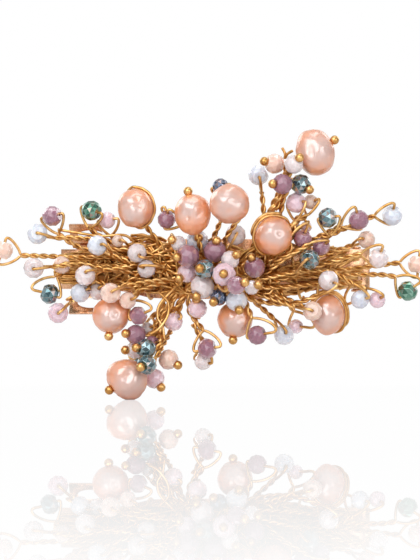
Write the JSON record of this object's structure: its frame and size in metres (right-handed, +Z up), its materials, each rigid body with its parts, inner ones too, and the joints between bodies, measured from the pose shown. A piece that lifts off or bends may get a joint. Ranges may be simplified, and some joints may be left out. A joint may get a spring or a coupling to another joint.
{
  "type": "hair barrette",
  "caption": "Spring-clip barrette whose arched plate carries wired sprays of baroque pearls and faceted glass beads.",
  "frame": {"origin": "middle of the hair gap, between the tension leaf and the clasp arm", "axes": "+X along the clip towards its hinge, +Z up as worn, +Y from the decoration towards the head"},
  "size_m": [0.0872, 0.0279, 0.0533],
  "materials": {
    "gold": "warm antique gold plate on twisted craft wire",
    "clip_gold": "rose-gold plated spring clip",
    "spring_steel": "gold-washed spring steel",
    "pearl": "peach to coral nacre with a satin lustre",
    "peach": "milky peach opal glass, polished facets",
    "mauve": "milky mauve glass, polished facets",
    "pink": "pale pink opal glass, polished facets",
    "blue": "pale periwinkle opal glass, polished facets",
    "white": "milky white opal glass, polished facets",
    "teal": "dark teal crystal with an iridescent metallic coat",
    "green": "dark green crystal with an iridescent metallic coat"
  },
  "bodies": {
    "clip_base": {"base_plate": "clip_gold", "bottom_bead_1_mauve": "mauve", "bottom_bead_2_teal": "teal", "bottom_bead_3_teal": "teal", "bottom_bead_4_peach": "peach", "bottom_bead_5_pink": "pink", "bottom_bead_6_mauve": "mauve", "bottom_spray_wire": "gold", "centre_bead_1_mauve": "mauve", "centre_bead_2_blue": "blue", "centre_bead_3_mauve": "mauve", "centre_bead_4_teal": "teal", "centre_bead_5_pink": "pink", "centre_bead_6_white": "white", "centre_bead_7_blue": "blue", "centre_spray_wire": "gold", "hinge_pin": "clip_gold", "latch_rivet": "clip_gold", "latch_saddle": "clip_gold", "leaf_rivet": "clip_gold", "left_bead_10_peach": "peach", "left_bead_1_peach": "peach", "left_bead_2_mauve": "mauve", "left_bead_3_blue": "blue", "left_bead_4_white": "white", "left_bead_5_teal": "teal", "left_bead_6_pink": "pink", "left_bead_7_green": "green", "left_bead_8_blue": "blue", "left_bead_9_white": "white", "left_spray_wire": "gold", "pearl_bottom": "pearl", "pearl_lower_centre": "pearl", "pearl_lower_left": "pearl", "pearl_lower_right": "pearl", "pearl_top": "pearl", "pearl_upper_centre": "pearl", "pearl_upper_left": "pearl", "pearl_upper_middle": "pearl", "pearl_upper_right": "pearl", "right_bead_10_blue": "blue", "right_bead_1_mauve": "mauve", "right_bead_2_teal": "teal", "right_bead_3_teal": "teal", "right_bead_4_mauve": "mauve", "right_bead_5_white": "white", "right_bead_6_blue": "blue", "right_bead_7_white": "white", "right_bead_8_peach": "peach", "right_bead_9_green": "green", "right_spray_wire": "gold", "tension_leaf": "spring_steel", "top_bead_1_peach": "peach", "top_bead_2_blue": "blue", "top_bead_3_mauve": "mauve", "top_bead_4_teal": "teal", "top_spray_wire": "gold"},
    "clasp_arm": {"clasp_arm": "clip_gold"},
    "upper_tab": {"upper_squeeze_tab": "clip_gold"},
    "lower_tab": {"lower_squeeze_tab": "clip_gold"}
  },
  "joints": [
    {"name": "arm_hinge", "type": "hinge", "parent": "clip_base", "child": "clasp_arm", "pos_m": [0.0285, 0.00447, 0], "axis": [0, 0, -1], "range_deg": [0, 75]},
    {"name": "upper_squeeze", "type": "hinge", "parent": "clip_base", "child": "upper_tab", "pos_m": [-0.02539, -0.00085, 0.0051], "axis": [0.9657, -0.2596, 0], "range_deg": [0, 8], "stiffness_Nm_per_rad": 0.02},
    {"name": "lower_squeeze", "type": "hinge", "parent": "clip_base", "child": "lower_tab", "pos_m": [-0.02539, -0.00085, -0.0051], "axis": [-0.9657, 0.2596, 0], "range_deg": [0, 8], "stiffness_Nm_per_rad": 0.02}
  ],
  "couplings": [
    {"joint": "lower_squeeze", "follows": "upper_squeeze", "ratio": 1}
  ]
}
